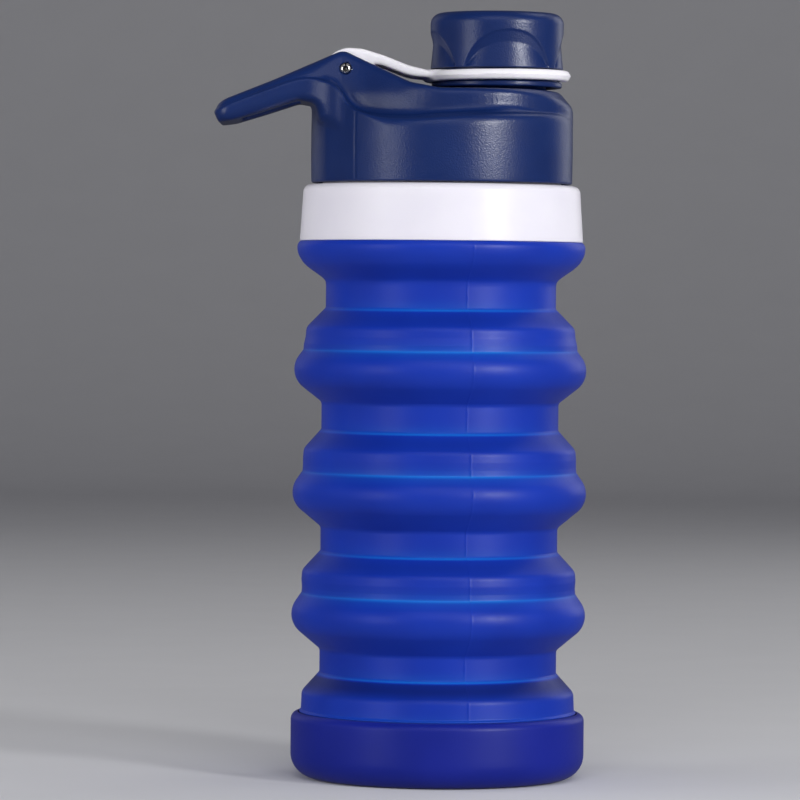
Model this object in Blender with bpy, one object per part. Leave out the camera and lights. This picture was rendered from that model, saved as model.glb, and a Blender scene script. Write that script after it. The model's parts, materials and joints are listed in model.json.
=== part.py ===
"""Folding silicone water bottle with a screw lid, a carry loop and a strapped spout cap.

All sizes are in millimetres and turned into metres by the helpers. The frame stands on the base:
+Z is up the bottle's axis, the carry loop points to -X and the spout stands off the axis to +X.
The silicone body is drawn as stiff rings with a thin wall between each two, because the thin
walls turn inside out as the bottle is pressed flat.
"""

import math

import bmesh
import bpy
from mathutils import Matrix, Vector

MM = 0.001
SEGMENTS = 36
GAP = 0.3

# Silicone body: stiff bulges, narrow waists and the thin walls that fold between them.
BULGE_RADIUS = 38.2
BULGE_ROUND = 6.5
BULGE_DROP = 6.7
RING_TOP_RADIUS = 35.5
WAIST_RADIUS = 30.8
TOP_WAIST_RADIUS = 29.9
STIFF_WALL = 2.2
THIN_WALL = 1.4
FOLDS = 4
FOLD_PITCH = 31.55
FIRST_HINGE = 17.9
WALL_RISE = 9.6
WAIST_DROP = FOLD_PITCH - WALL_RISE
CONE_DROP = 15.1

# Base cup.
BASE_RADIUS = 38.15
BASE_CORNER = 6.0
BASE_WALL = 1.8
LIP_TOP = 16.9
LINING_WALL = 1.9
LINING_CORNER = 4.2
LINING_TOP = 17.3

# Collar and threaded neck.
COLLAR_LOW = 139.3
COLLAR_HIGH = 153.9
COLLAR_LOW_RADIUS = 36.7
COLLAR_HIGH_RADIUS = 35.9
COLLAR_ROUND = 1.5
SLEEVE_RADIUS = 33.2
BEAD_RADIUS = 33.9
BEAD_LOW = 145.9
SLEEVE_TOP = 149.0
NECK_BORE = 28.4
NECK_RADIUS = 31.0
NECK_BARREL_RADIUS = 30.7
NECK_FLANGE_TOP = 151.2
NECK_TOP = 163.0

# Lid thread, cut two turns deep so that the lid lifts clear of the neck.
THREAD_PITCH = 4.5
THREAD_START = 156.2
THREAD_DEPTH = 1.0
THREAD_ROOT = 1.8
THREAD_CREST = 0.8

# Lid. It is one moulding, drawn as three solids: its body, its carry loop and its spout.
LID_RADIUS = 34.0
LID_LOW = 154.3
LID_SHOULDER = 172.0
LID_SHOULDER_ROUND = 1.8
LID_BORE = 32.4
GASKET_LAND = 165.3
DOME_TOP = 169.5
DECK_TOP = 178.2
DECK_WALL = 2.6
CHAMFER_RADIUS = 30.0
CHAMFER_DROP = 3.9

# Carry loop and hinge cheeks, in side view, and what is cut through them.
LOOP_HALF_WIDTH = 16.5
LOOP_ROOT_X = -33.6
SLOT_HALF_WIDTH = 10.2
SLOT_FLOOR = 177.5
LOOP_OPENING = (-52.1, -37.1)
PIN_X = -25.1
PIN_Z = 183.4
PIN_RADIUS = 1.4
PIN_HOLE = 1.65
PIN_TUBE_BORE = 0.7

# Spout, cap and strap.
SPOUT_X = 14.0
SPOUT_THREAD_START = 185.6
SPOUT_RADIUS = 12.8
SPOUT_BORE = 10.8
DECK_BORE = 11.8
SPOUT_TOP = 193.0
SPOUT_PITCH = 3.0
SPOUT_SEGMENTS = 28
CAP_RADIUS = 17.35
CAP_LOW_RADIUS = 16.9
CAP_BORE = 15.0
CAP_TOP = 199.0
CAP_ROUND = 2.9
CAP_CEILING = 195.0
CAP_SKIRT = 179.3
GROOVE_LOW = 180.8
GROOVE_HIGH = 183.9
GROOVE_RADIUS = 15.9
SCALLOPS = 4
SCALLOP_RADIUS = 16.6
SCALLOP_HALF_ANGLE = math.radians(40.5)
SCALLOP_TURN = math.radians(-79.0)
STRAP_BORE = 16.2
STRAP_RADIUS = 19.2
STRAP_LOW = 181.1
STRAP_HIGH = 183.6
STRAP_HALF_WIDTH = 9.5
KNUCKLE_RADIUS = 5.3


def clear_scene():
    for obj in list(bpy.data.objects):
        bpy.data.objects.remove(obj)


def make_material(name, colour, roughness, metallic=0.0):
    material = bpy.data.materials.new(name)
    material.use_nodes = True
    shader = material.node_tree.nodes["Principled BSDF"]
    shader.inputs["Base Color"].default_value = (*colour, 1.0)
    shader.inputs["Roughness"].default_value = roughness
    shader.inputs["Metallic"].default_value = metallic
    return material


def add_object(name, mesh_builder, material=None):
    """Turns a bmesh in millimetres into an object in metres, with its faces pointing out."""
    bmesh.ops.remove_doubles(mesh_builder, verts=mesh_builder.verts, dist=1e-4)
    bmesh.ops.recalc_face_normals(mesh_builder, faces=mesh_builder.faces)
    bmesh.ops.scale(mesh_builder, vec=(MM, MM, MM), verts=mesh_builder.verts)
    mesh = bpy.data.meshes.new(name)
    mesh_builder.to_mesh(mesh)
    mesh_builder.free()
    mesh.shade_smooth()
    mesh.set_sharp_from_angle(angle=math.radians(35))
    obj = bpy.data.objects.new(name, mesh)
    bpy.context.collection.objects.link(obj)
    if material:
        mesh.materials.append(material)
    return obj


def set_origin(obj, x, z):
    """Puts a moving piece's origin on its joint's axis without moving the piece."""
    origin = Vector((x * MM, 0.0, z * MM))
    obj.data.transform(Matrix.Translation(-origin))
    obj.location = origin


def arc(centre, radius, start, end, steps):
    """Points of an arc in a profile, with the angles in degrees from the outward direction."""
    angles = [math.radians(start + (end - start) * i / steps) for i in range(steps + 1)]
    return [(centre[0] + radius * math.cos(a), centre[1] + radius * math.sin(a)) for a in angles]


def shifted(points, rise):
    return [(r, z + rise) for r, z in points]


def turned(name, profile, material=None, centre_x=0.0, segments=SEGMENTS):
    """Spins a closed (radius, height) profile round a vertical axis."""
    builder = bmesh.new()
    verts = [builder.verts.new((r, 0.0, z)) for r, z in profile]
    for i, vert in enumerate(verts):
        after = verts[(i + 1) % len(verts)]
        if vert.co.x > 0.0 or after.co.x > 0.0:
            builder.edges.new((vert, after))
    bmesh.ops.spin(
        builder,
        geom=[*builder.verts, *builder.edges],
        cent=(0.0, 0.0, 0.0),
        axis=(0.0, 0.0, 1.0),
        angle=math.tau,
        steps=segments,
        use_merge=True,
    )
    bmesh.ops.translate(builder, vec=(centre_x, 0.0, 0.0), verts=builder.verts)
    return add_object(name, builder, material)


def side_prism(name, outline, half_width, material=None):
    """Extrudes an (x, z) outline across the bottle, from -half_width to +half_width in Y."""
    builder = bmesh.new()
    face = builder.faces.new([builder.verts.new((x, -half_width, z)) for x, z in outline])
    made = bmesh.ops.extrude_face_region(builder, geom=[face])
    moved = [v for v in made["geom"] if isinstance(v, bmesh.types.BMVert)]
    bmesh.ops.translate(builder, vec=(0.0, 2.0 * half_width, 0.0), verts=moved)
    return add_object(name, builder, material)


def plan_prism(name, outline, low, high, material=None):
    """Extrudes an (x, y) outline upwards, from low to high in Z."""
    builder = bmesh.new()
    face = builder.faces.new([builder.verts.new((x, y, low)) for x, y in outline])
    made = bmesh.ops.extrude_face_region(builder, geom=[face])
    moved = [v for v in made["geom"] if isinstance(v, bmesh.types.BMVert)]
    bmesh.ops.translate(builder, vec=(0.0, 0.0, high - low), verts=moved)
    return add_object(name, builder, material)


def box(name, low, high, turn=0.0, centre=(0.0, 0.0)):
    """A block between two corners, then turned by an angle about +Z and moved in plan."""
    builder = bmesh.new()
    size = [b - a for a, b in zip(low, high)]
    middle = [(a + b) / 2 for a, b in zip(low, high)]
    bmesh.ops.create_cube(builder, size=1.0)
    bmesh.ops.scale(builder, vec=size, verts=builder.verts)
    bmesh.ops.translate(builder, vec=middle, verts=builder.verts)
    spin = Matrix.Rotation(turn, 4, "Z")
    bmesh.ops.transform(builder, matrix=spin, verts=builder.verts)
    bmesh.ops.translate(builder, vec=(*centre, 0.0), verts=builder.verts)
    return add_object(name, builder)


def cross_rod(name, radius, half_length, x, z, segments, material=None):
    """A round bar along Y through (x, z)."""
    builder = bmesh.new()
    bmesh.ops.create_cone(
        builder,
        cap_ends=True,
        segments=segments,
        radius1=radius,
        radius2=radius,
        depth=2.0 * half_length,
        matrix=Matrix.Translation((x, 0.0, z)) @ Matrix.Rotation(math.pi / 2, 4, "X"),
    )
    return add_object(name, builder, material)


def thread_ridge(name, wall, crest, pitch, start, turns, first_turn=0.0, centre_x=0.0, steps=30):
    """A helical ridge from inside a wall's radius out (or in) to its crest's radius."""
    builder = bmesh.new()
    bite = 0.4 if crest > wall else -0.4
    count = round(turns * steps)
    rings = []
    for i in range(count + 1):
        turn = first_turn + turns * i / count
        taper = min(1.0, 0.25 + 4.0 * min(i, count - i) / count)
        top = wall + (crest - wall) * taper
        middle = start + pitch * turn
        section = [
            (wall - bite, -THREAD_ROOT / 2),
            (top, -THREAD_CREST / 2),
            (top, THREAD_CREST / 2),
            (wall - bite, THREAD_ROOT / 2),
        ]
        angle = math.tau * turn
        rings.append(
            [
                builder.verts.new((r * math.cos(angle), r * math.sin(angle), middle + z))
                for r, z in section
            ]
        )
    for before, after in zip(rings, rings[1:]):
        for k in range(4):
            n = (k + 1) % 4
            builder.faces.new((before[k], before[n], after[n], after[k]))
    builder.faces.new(rings[0])
    builder.faces.new(rings[-1])
    bmesh.ops.translate(builder, vec=(centre_x, 0.0, 0.0), verts=builder.verts)
    return add_object(name, builder)


def combine(target, tool, operation, solver="EXACT"):
    """Adds a Boolean to target and keeps its tool out of the render.

    The lid body and the strap use MANIFOLD, because EXACT leaves open edges where their bores cross.
    """
    modifier = target.modifiers.new(f"{operation.lower()} {tool.name}", "BOOLEAN")
    modifier.object = tool
    modifier.operation = operation
    modifier.solver = solver
    tool.hide_render = True
    tool.display_type = "WIRE"


def hinge_height(fold):
    """Height of the crease on top of ring number fold; ring 0 is the base cup."""
    return FIRST_HINGE + FOLD_PITCH * fold


def make_base_cup(silicone):
    """The stiffer outer cup that the bottle stands on."""
    inner = BASE_RADIUS - BASE_WALL
    corner = (BASE_RADIUS - BASE_CORNER, BASE_CORNER)
    profile = [
        (0.0, 0.0),
        *arc(corner, BASE_CORNER, -90, 0, 4),
        (BASE_RADIUS, LIP_TOP - 0.9),
        (BASE_RADIUS - 0.9, LIP_TOP),
        (inner, LIP_TOP),
        *arc(corner, BASE_CORNER - BASE_WALL, 0, -90, 3),
        (0.0, BASE_WALL),
    ]
    return turned("base_cup", profile, silicone)


def make_body_floor(silicone):
    """The closed lower end of the folding body, which stands inside the base cup."""
    outer = BASE_RADIUS - BASE_WALL - GAP
    low = BASE_WALL + GAP
    corner = (outer - LINING_CORNER, low + LINING_CORNER)
    profile = [
        (0.0, low),
        *arc(corner, LINING_CORNER, -90, 0, 3),
        (outer, LINING_TOP),
        (outer - LINING_WALL, LINING_TOP),
        *arc(corner, LINING_CORNER - LINING_WALL, 0, -90, 2),
        (0.0, low + LINING_WALL),
    ]
    return turned("body_floor", profile, silicone)


def make_fold_wall(fold, waist_radius, silicone):
    """The thin wall between ring number fold - 1 and the waist above it."""
    low = hinge_height(fold - 1)
    rise = WALL_RISE - GAP
    start = LINING_TOP + GAP - low if fold == 1 else GAP
    outer = RING_TOP_RADIUS - 0.3
    inner = outer - THIN_WALL
    profile = [
        (outer, start),
        (outer - 0.2, 4.7),
        (outer - 0.7, 5.5),
        (waist_radius + 0.2, rise),
        (waist_radius - THIN_WALL, rise),
        (inner - 0.5, 4.4),
        (inner, 3.8),
        (inner, start),
    ]
    return turned(f"fold_wall_{fold}", shifted(profile, low), silicone)


def make_fold_ring(fold, silicone):
    """A stiff bulge with the waist below it, drawn down from the crease on its top."""
    centre = (BULGE_RADIUS - BULGE_ROUND, -BULGE_DROP)
    inner_round = BULGE_ROUND - STIFF_WALL
    waist_bore = WAIST_RADIUS - STIFF_WALL
    profile = [
        (RING_TOP_RADIUS, 0.0),
        *arc(centre, BULGE_ROUND, 50, -52, 6),
        (WAIST_RADIUS + 0.5, -CONE_DROP),
        (WAIST_RADIUS, -CONE_DROP - 1.2),
        (WAIST_RADIUS, -WAIST_DROP),
        (waist_bore, -WAIST_DROP),
        (waist_bore, 0.4 - CONE_DROP),
        (waist_bore + 0.7, 1.2 - CONE_DROP),
        *arc(centre, inner_round, -52, 50, 3),
        (RING_TOP_RADIUS - STIFF_WALL, 0.0),
    ]
    return turned(f"fold_ring_{fold}", shifted(profile, hinge_height(fold)), silicone)


def make_shoulder_ring(silicone):
    """The top waist, the half bulge under the collar and the sleeve that the collar clamps."""
    waist_low = hinge_height(FOLDS - 1) + WALL_RISE
    bore = TOP_WAIST_RADIUS - STIFF_WALL
    profile = [
        (TOP_WAIST_RADIUS, waist_low),
        (TOP_WAIST_RADIUS, 128.6),
        (TOP_WAIST_RADIUS + 0.8, 129.7),
        (35.2, 133.3),
        (36.6, 134.9),
        (37.4, 137.2),
        (37.0, COLLAR_LOW - GAP),
        (SLEEVE_RADIUS, COLLAR_LOW - GAP),
        (SLEEVE_RADIUS, BEAD_LOW - 0.6),
        (BEAD_RADIUS, BEAD_LOW),
        (BEAD_RADIUS, SLEEVE_TOP),
        (NECK_BARREL_RADIUS + GAP, SLEEVE_TOP),
        (NECK_BARREL_RADIUS + GAP, COLLAR_LOW + 0.3),
        (34.0, 138.2),
        (34.6, 136.2),
        (33.6, 134.9),
        (bore + 0.9, 130.7),
        (bore, 129.4),
        (bore, waist_low),
    ]
    return turned("shoulder_ring", profile, silicone)


def make_collar(plastic):
    top = (COLLAR_HIGH_RADIUS - COLLAR_ROUND, COLLAR_HIGH - COLLAR_ROUND)
    profile = [
        (COLLAR_LOW_RADIUS, COLLAR_LOW),
        *arc(top, COLLAR_ROUND, 0, 90, 3),
        (NECK_RADIUS + GAP, COLLAR_HIGH),
        (NECK_RADIUS + GAP, NECK_FLANGE_TOP + GAP),
        (BEAD_RADIUS + GAP, NECK_FLANGE_TOP + GAP),
        (BEAD_RADIUS + GAP, BEAD_LOW - GAP),
        (SLEEVE_RADIUS + GAP, BEAD_LOW - 0.9),
        (SLEEVE_RADIUS + GAP, COLLAR_LOW),
    ]
    return turned("neck_collar", profile, plastic)


def make_neck_insert(plastic):
    profile = [
        (NECK_BORE, COLLAR_LOW + 0.6),
        (NECK_BARREL_RADIUS, COLLAR_LOW + 0.6),
        (NECK_BARREL_RADIUS, SLEEVE_TOP + GAP),
        (BEAD_RADIUS, SLEEVE_TOP + GAP),
        (BEAD_RADIUS, NECK_FLANGE_TOP),
        (NECK_RADIUS, NECK_FLANGE_TOP),
        (NECK_RADIUS, NECK_TOP - 0.5),
        (NECK_RADIUS - 0.5, NECK_TOP),
        (NECK_BORE, NECK_TOP),
    ]
    neck = turned("threaded_neck", profile, plastic)
    ridge = thread_ridge(
        "neck_thread", NECK_RADIUS, NECK_RADIUS + THREAD_DEPTH, THREAD_PITCH, THREAD_START, 1.2
    )
    combine(neck, ridge, "UNION")
    return neck


def make_lid_gasket(seal):
    low = NECK_TOP + GAP
    high = GASKET_LAND - GAP
    profile = [(28.7, low), (31.6, low), (31.6, high), (28.7, high)]
    return turned("lid_gasket", profile, seal)


def deck_outline():
    """Plan of the raised deck: an oval over the spout that tapers to the hinge cheeks."""
    half = [
        (33.9, 6.0),
        (32.4, 10.3),
        (29.8, 14.9),
        (25.0, 19.8),
        (19.0, 24.0),
        (11.0, 26.6),
        (3.0, 27.2),
        (-5.0, 25.7),
        (-13.0, 22.6),
        (-20.0, 19.2),
        (-27.0, LOOP_HALF_WIDTH),
    ]
    return [(LID_RADIUS, 0.0), *half, *[(x, -y) for x, y in reversed(half)]]


def root_profile():
    """Side view of the block that carries the cheeks at the left of the lid."""
    return [
        (2.0, DECK_TOP),
        (LOOP_ROOT_X, DECK_TOP),
        (LOOP_ROOT_X, 171.0),
        (LOOP_ROOT_X + 0.6, 166.0),
        (2.0, 166.0),
    ]


def loop_profile():
    """Side view of the hinge cheeks and the carry loop, down to where they meet the lid."""
    foot = DECK_TOP + GAP
    root = LOOP_ROOT_X - GAP
    return [
        (-1.8, foot),
        (-3.1, 178.8),
        (-7.0, 179.7),
        (-12.3, 181.6),
        (-17.9, 184.4),
        (-23.2, 187.2),
        (-25.7, 187.9),
        (-28.0, 187.3),
        (-32.1, 185.3),
        (-43.6, 180.5),
        (-55.6, 175.6),
        (-58.4, 174.4),
        (-59.8, 172.5),
        (-59.3, 170.9),
        (-57.4, 169.9),
        (-54.6, 170.0),
        (-48.1, 171.8),
        (-40.1, 174.7),
        (-36.9, 174.8),
        (-34.9, 173.6),
        (root, 172.2),
        (root, foot),
    ]


def make_lid_shell():
    """The outside of the lid's body: skirt, raised deck with its chamfered nose, loop's block."""
    corner = (LID_RADIUS - LID_SHOULDER_ROUND, LID_SHOULDER - LID_SHOULDER_ROUND)
    skirt_profile = [
        (0.0, LID_LOW),
        (LID_RADIUS, LID_LOW),
        *arc(corner, LID_SHOULDER_ROUND, 0, 90, 3),
        (0.0, LID_SHOULDER),
    ]
    deck = plan_prism("lid_deck", deck_outline(), 166.0, DECK_TOP)
    nose_profile = [
        (0.0, 160.0),
        (LID_RADIUS + 3.0, 160.0),
        (LID_RADIUS + 3.0, DECK_TOP - CHAMFER_DROP * (LID_RADIUS + 3.0 - CHAMFER_RADIUS) / 4.0),
        (CHAMFER_RADIUS, DECK_TOP),
        (CHAMFER_RADIUS - 2.0, DECK_TOP + 2.0),
        (0.0, DECK_TOP + 2.0),
    ]
    combine(deck, turned("deck_nose", nose_profile), "INTERSECT", "MANIFOLD")
    lid = turned("lid_body", skirt_profile)
    for side in (1, -1):
        flat_angle = math.pi - side * math.radians(40.0)
        flat = box(
            f"lid_flat_{side}",
            (0.0, -8.0, LID_LOW - 1.0),
            (5.0, 8.0, LID_SHOULDER + 1.0),
            flat_angle,
            (33.4 * math.cos(flat_angle), 33.4 * math.sin(flat_angle)),
        )
        combine(lid, flat, "DIFFERENCE", "MANIFOLD")
    combine(lid, deck, "UNION", "MANIFOLD")
    combine(lid, side_prism("loop_root", root_profile(), LOOP_HALF_WIDTH), "UNION", "MANIFOLD")
    return lid


def hollow_lid(lid):
    """Cuts the thread bore, the gasket land and the dome, then adds the lid's own thread."""
    bore_profile = [
        (0.0, LID_LOW - 5.0),
        (LID_BORE, LID_LOW - 5.0),
        (LID_BORE, GASKET_LAND),
        (27.5, GASKET_LAND),
        (27.5, DOME_TOP),
        (0.0, DOME_TOP),
    ]
    dome_profile = [
        (0.0, GASKET_LAND),
        (19.0, GASKET_LAND),
        (19.0, DECK_TOP - DECK_WALL - 3.0),
        (16.0, DECK_TOP - DECK_WALL),
        (0.0, DECK_TOP - DECK_WALL),
    ]
    combine(lid, turned("lid_bore", bore_profile), "DIFFERENCE", "MANIFOLD")
    combine(lid, turned("lid_dome", dome_profile, centre_x=9.0, segments=SPOUT_SEGMENTS), "DIFFERENCE", "MANIFOLD")
    ridge = thread_ridge(
        "lid_thread",
        LID_BORE,
        LID_BORE - THREAD_DEPTH,
        THREAD_PITCH,
        THREAD_START + THREAD_PITCH / 2,
        1.1,
        first_turn=-0.35,
    )
    combine(lid, ridge, "UNION", "MANIFOLD")


def strap_slot():
    """A block that clears the strap's way between the cheeks."""
    return box(
        "strap_slot",
        (LOOP_OPENING[0], -SLOT_HALF_WIDTH, SLOT_FLOOR),
        (-17.0, SLOT_HALF_WIDTH, 195.0),
    )


def make_lid_body(plastic):
    lid = make_lid_shell()
    lid.data.materials.append(plastic)
    hollow_lid(lid)
    bore_profile = [
        (0.0, DECK_TOP - 6.0),
        (DECK_BORE, DECK_TOP - 6.0),
        (DECK_BORE, DECK_TOP + 2.0),
        (0.0, DECK_TOP + 2.0),
    ]
    bore = turned("deck_bore", bore_profile, centre_x=SPOUT_X, segments=SPOUT_SEGMENTS)
    combine(lid, bore, "DIFFERENCE", "MANIFOLD")
    combine(lid, strap_slot(), "DIFFERENCE", "MANIFOLD")
    return lid


def make_spout(plastic):
    """The threaded tube on the deck."""
    profile = [
        (SPOUT_BORE, DECK_TOP + GAP),
        (SPOUT_RADIUS, DECK_TOP + GAP),
        (SPOUT_RADIUS, SPOUT_TOP - 0.6),
        (SPOUT_RADIUS - 0.6, SPOUT_TOP),
        (SPOUT_BORE, SPOUT_TOP),
    ]
    spout = turned("spout", profile, plastic, SPOUT_X, SPOUT_SEGMENTS)
    ridge = thread_ridge(
        "spout_thread",
        SPOUT_RADIUS,
        SPOUT_RADIUS + 0.7,
        SPOUT_PITCH,
        SPOUT_THREAD_START,
        1.2,
        centre_x=SPOUT_X,
        steps=24,
    )
    combine(spout, ridge, "UNION")
    return spout


def make_carry_loop(plastic):
    """The two hinge cheeks and the loop that joins them."""
    loop = side_prism("carry_loop", loop_profile(), LOOP_HALF_WIDTH, plastic)
    ramp = box("strap_ramp", (-18.0, -SLOT_HALF_WIDTH, DECK_TOP), (1.0, SLOT_HALF_WIDTH, 195.0))
    opening = box(
        "loop_opening",
        (LOOP_OPENING[0], -SLOT_HALF_WIDTH, 160.0),
        (LOOP_OPENING[1], SLOT_HALF_WIDTH, 195.0),
    )
    hole = cross_rod("pin_hole", PIN_HOLE, 20.0, PIN_X, PIN_Z, 16)
    for cutter in (strap_slot(), ramp, opening, hole):
        combine(loop, cutter, "DIFFERENCE")
    return loop


def make_hinge_pin(steel):
    """A rolled pin: a tube with a slit along its upper side."""
    half_length = LOOP_HALF_WIDTH - 0.5
    pin = cross_rod("hinge_pin", PIN_RADIUS, half_length, PIN_X, PIN_Z, 16, steel)
    bore = cross_rod("pin_tube_bore", PIN_TUBE_BORE, half_length + 1.0, PIN_X, PIN_Z, 12)
    slit = box(
        "pin_slit",
        (PIN_X - 0.2, -half_length - 1.0, PIN_Z + 0.1),
        (PIN_X + 0.2, half_length + 1.0, PIN_Z + 3.0),
    )
    combine(pin, bore, "DIFFERENCE")
    combine(pin, slit, "DIFFERENCE")
    return pin


def make_cap_strap(plastic):
    """The ring in the cap's groove and the arm that arches over to the hinge pin."""
    ring_profile = [
        (0.0, STRAP_LOW),
        (STRAP_RADIUS - 0.7, STRAP_LOW),
        (STRAP_RADIUS, (STRAP_LOW + STRAP_HIGH) / 2),
        (STRAP_RADIUS - 0.7, STRAP_HIGH),
        (0.0, STRAP_HIGH),
    ]
    arm_outline = [
        (3.0, STRAP_HIGH - 0.5),
        (-3.4, STRAP_HIGH + 0.2),
        (-8.1, 184.5),
        (-11.4, 185.5),
        (-15.0, 187.0),
        (-18.8, 188.0),
        (-22.1, 188.5),
        *arc((PIN_X, PIN_Z), KNUCKLE_RADIUS, 90, 315, 13),
        (-17.6, 184.4),
        (-14.5, 183.7),
        (-11.4, 182.6),
        (-8.1, 181.8),
        (-4.6, STRAP_LOW + 0.3),
        (3.0, STRAP_LOW + 0.5),
    ]
    strap = turned("cap_strap", ring_profile, plastic, SPOUT_X)
    arm = side_prism("strap_arm", arm_outline, STRAP_HALF_WIDTH)
    hole = turned(
        "strap_hole",
        [(0.0, 170.0), (STRAP_BORE, 170.0), (STRAP_BORE, 195.0), (0.0, 195.0)],
        centre_x=SPOUT_X,
    )
    pin_bore = cross_rod("strap_pin_bore", PIN_HOLE, 20.0, PIN_X, PIN_Z, 16)
    combine(strap, arm, "UNION", "MANIFOLD")
    combine(strap, hole, "DIFFERENCE", "MANIFOLD")
    combine(strap, pin_bore, "DIFFERENCE", "MANIFOLD")
    return strap


def scallop_cutter(number):
    """An arched panel that takes a shallow finger grip out of the cap's side."""
    builder = bmesh.new()
    low = GROOVE_HIGH - 1.0
    foot = GROOVE_HIGH + 0.5
    rise = 9.4
    columns = 8
    middle = SCALLOP_TURN + math.tau * number / SCALLOPS
    corners = []
    for i in range(columns + 1):
        share = -1.0 + 2.0 * i / columns
        angle = middle + share * SCALLOP_HALF_ANGLE
        top = foot + rise * math.sqrt(max(0.0, 1.0 - share * share))
        column = [
            (SCALLOP_RADIUS, low),
            (CAP_RADIUS + 2.0, low),
            (CAP_RADIUS + 2.0, top + 1.2),
            (SCALLOP_RADIUS, top),
        ]
        corners.append(
            [
                builder.verts.new((SPOUT_X + r * math.cos(angle), r * math.sin(angle), z))
                for r, z in column
            ]
        )
    for before, after in zip(corners, corners[1:]):
        for k in range(4):
            n = (k + 1) % 4
            builder.faces.new((before[k], before[n], after[n], after[k]))
    builder.faces.new(corners[0])
    builder.faces.new(corners[-1])
    return add_object(f"scallop_{number}", builder)


def make_cap_shell(plastic):
    top = (CAP_RADIUS - CAP_ROUND, CAP_TOP - CAP_ROUND)
    profile = [
        (0.0, CAP_TOP),
        *arc(top, CAP_ROUND, 90, 0, 4),
        (CAP_RADIUS - 0.1, 193.5),
        (CAP_LOW_RADIUS, 188.5),
        (CAP_LOW_RADIUS, GROOVE_HIGH),
        (GROOVE_RADIUS, GROOVE_HIGH),
        (GROOVE_RADIUS, GROOVE_LOW),
        (CAP_LOW_RADIUS, GROOVE_LOW),
        (CAP_LOW_RADIUS, CAP_SKIRT),
        (CAP_BORE, CAP_SKIRT),
        (CAP_BORE, CAP_CEILING),
        (0.0, CAP_CEILING),
    ]
    cap = turned("spout_cap", profile, plastic, SPOUT_X)
    for number in range(SCALLOPS):
        combine(cap, scallop_cutter(number), "DIFFERENCE")
    ridge = thread_ridge(
        "cap_thread",
        CAP_BORE,
        CAP_BORE - 0.5,
        SPOUT_PITCH,
        SPOUT_THREAD_START + SPOUT_PITCH / 2,
        1.2,
        centre_x=SPOUT_X,
        steps=24,
    )
    combine(cap, ridge, "UNION")
    return cap


def make_cap_liner(seal):
    low = SPOUT_TOP + GAP
    high = CAP_CEILING - GAP
    profile = [(0.0, low), (14.5, low), (14.5, high), (0.0, high)]
    return turned("cap_liner", profile, seal, SPOUT_X, SPOUT_SEGMENTS)


def main():
    clear_scene()
    blue_silicone = make_material("blue silicone", (0.03, 0.07, 0.45), 0.45)
    white_plastic = make_material("white plastic", (0.85, 0.84, 0.88), 0.35)
    navy_plastic = make_material("navy plastic", (0.02, 0.05, 0.16), 0.32)
    clear_silicone = make_material("pale seal silicone", (0.75, 0.76, 0.78), 0.5)
    steel = make_material("steel", (0.6, 0.6, 0.58), 0.25, 1.0)
    make_base_cup(blue_silicone)
    make_body_floor(blue_silicone)
    for fold in range(1, FOLDS + 1):
        waist = TOP_WAIST_RADIUS if fold == FOLDS else WAIST_RADIUS
        make_fold_wall(fold, waist, blue_silicone)
        if fold < FOLDS:
            make_fold_ring(fold, blue_silicone)
    make_shoulder_ring(blue_silicone)
    make_collar(white_plastic)
    make_neck_insert(white_plastic)
    make_lid_gasket(clear_silicone)
    make_lid_body(navy_plastic)
    make_carry_loop(navy_plastic)
    make_spout(navy_plastic)
    make_hinge_pin(steel)
    set_origin(make_cap_strap(white_plastic), PIN_X, PIN_Z)
    set_origin(make_cap_shell(navy_plastic), SPOUT_X, GROOVE_LOW)
    set_origin(make_cap_liner(clear_silicone), SPOUT_X, GROOVE_LOW)


main()
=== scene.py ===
"""Looks of the folding bottle: moulded silicone body, satin lid, strap, cap, studio and camera.

Lengths inside the shape functions are millimetres in the row's frame. add_mesh turns them into
metres.
"""

import json
import math

import bpy
import numpy as np
from mathutils import Matrix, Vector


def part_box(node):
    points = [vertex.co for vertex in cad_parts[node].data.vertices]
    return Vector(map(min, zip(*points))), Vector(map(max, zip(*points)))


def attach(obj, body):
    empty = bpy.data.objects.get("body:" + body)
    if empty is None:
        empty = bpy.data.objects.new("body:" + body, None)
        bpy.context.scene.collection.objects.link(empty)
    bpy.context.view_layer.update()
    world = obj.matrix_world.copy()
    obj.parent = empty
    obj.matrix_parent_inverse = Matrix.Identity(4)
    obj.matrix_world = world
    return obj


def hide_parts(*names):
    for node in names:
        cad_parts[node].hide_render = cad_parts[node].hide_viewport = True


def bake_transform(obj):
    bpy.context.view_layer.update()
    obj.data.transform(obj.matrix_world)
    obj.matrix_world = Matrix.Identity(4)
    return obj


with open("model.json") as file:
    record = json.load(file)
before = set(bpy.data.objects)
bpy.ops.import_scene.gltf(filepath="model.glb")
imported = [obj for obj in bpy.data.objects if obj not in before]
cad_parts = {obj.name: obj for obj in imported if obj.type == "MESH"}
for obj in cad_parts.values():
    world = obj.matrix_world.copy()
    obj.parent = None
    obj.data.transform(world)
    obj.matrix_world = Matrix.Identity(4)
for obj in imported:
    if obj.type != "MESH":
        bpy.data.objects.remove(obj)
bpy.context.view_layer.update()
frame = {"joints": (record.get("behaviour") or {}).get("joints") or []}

MM = 0.001
FRONT = -math.pi / 2
SHARP_ANGLE = 35.0


def node_low(node):
    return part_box(node)[0][2] / MM


def node_high(node):
    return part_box(node)[1][2] / MM


def hinge_point(joint):
    """Where a hinge's axis stands, in millimetres."""
    return [c / MM for c in next(j for j in frame["joints"] if j["name"] == joint)["pos_m"]]


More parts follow.
